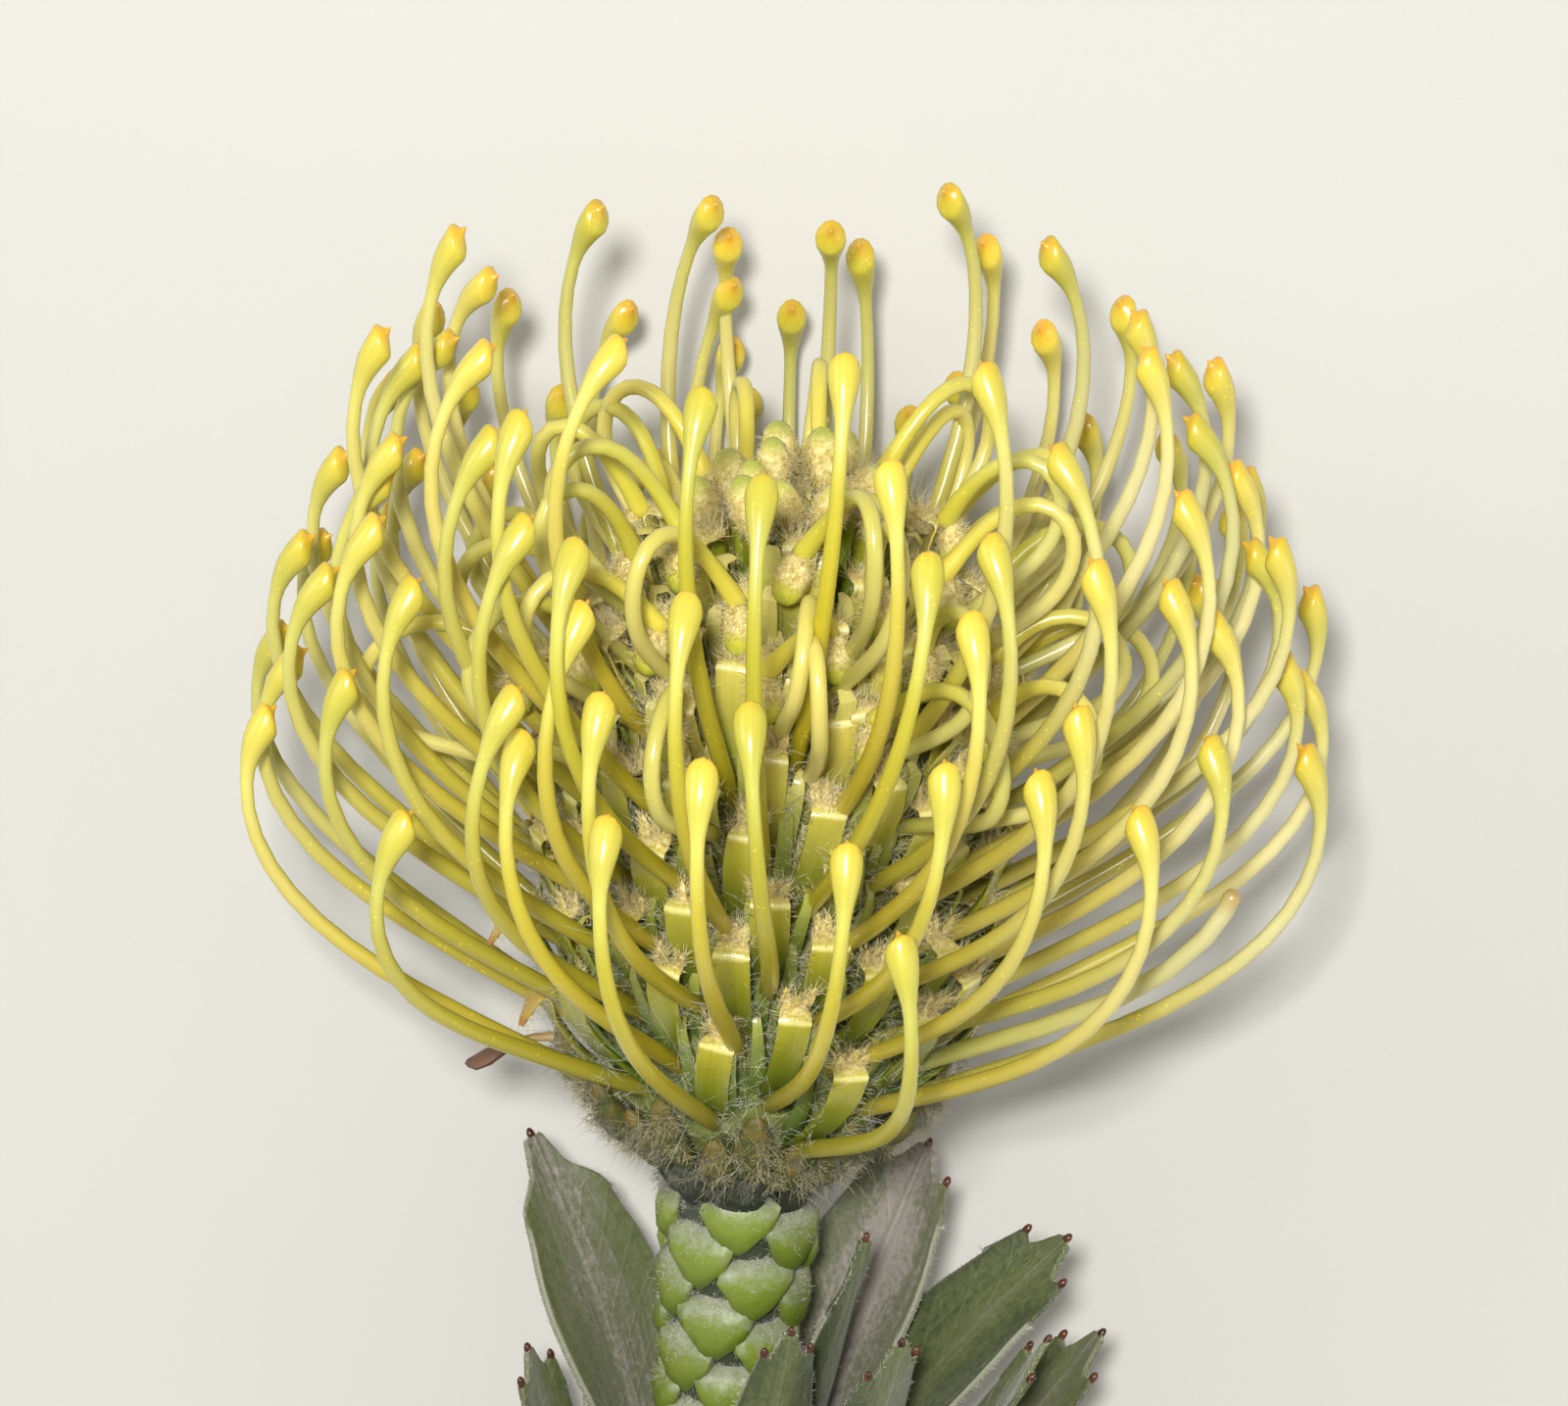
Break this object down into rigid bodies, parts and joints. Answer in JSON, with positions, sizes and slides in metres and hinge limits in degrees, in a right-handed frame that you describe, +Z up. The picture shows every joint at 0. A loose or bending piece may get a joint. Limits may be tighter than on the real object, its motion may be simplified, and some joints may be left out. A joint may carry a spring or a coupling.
{
  "type": "cut pincushion flower",
  "caption": "Cut pincushion flower lying on its side: a dome of curved yellow styles over a hairy green mass of florets, on a scaly stalk with toothed grey-green leaves.",
  "frame": {"origin": "middle of the footprint of the whole flower on the surface it lies on", "axes": "+Z up from the surface; +Y along the stem towards its cut end, so the bloom faces -Y; +X is the left of the bloom seen from above with the bloom at the far side"},
  "size_m": [0.0939, 0.1658, 0.0888],
  "materials": {
    "bloom": "waxy plant tissue: glossy yellow styles over hairy yellow-green florets",
    "stem": "green bark and plump scales with short grey hair",
    "leaf": "leathery leaf with grey felt"
  },
  "bodies": {
    "root": {"flower_head": "bloom", "stem": "stem", "leaf_01": "leaf", "leaf_02": "leaf", "leaf_03": "leaf", "leaf_04": "leaf", "leaf_05": "leaf", "leaf_06": "leaf", "leaf_07": "leaf", "leaf_08": "leaf", "leaf_09": "leaf", "leaf_10": "leaf", "leaf_11": "leaf", "leaf_12": "leaf", "leaf_13": "leaf"}
  },
  "joints": []
}
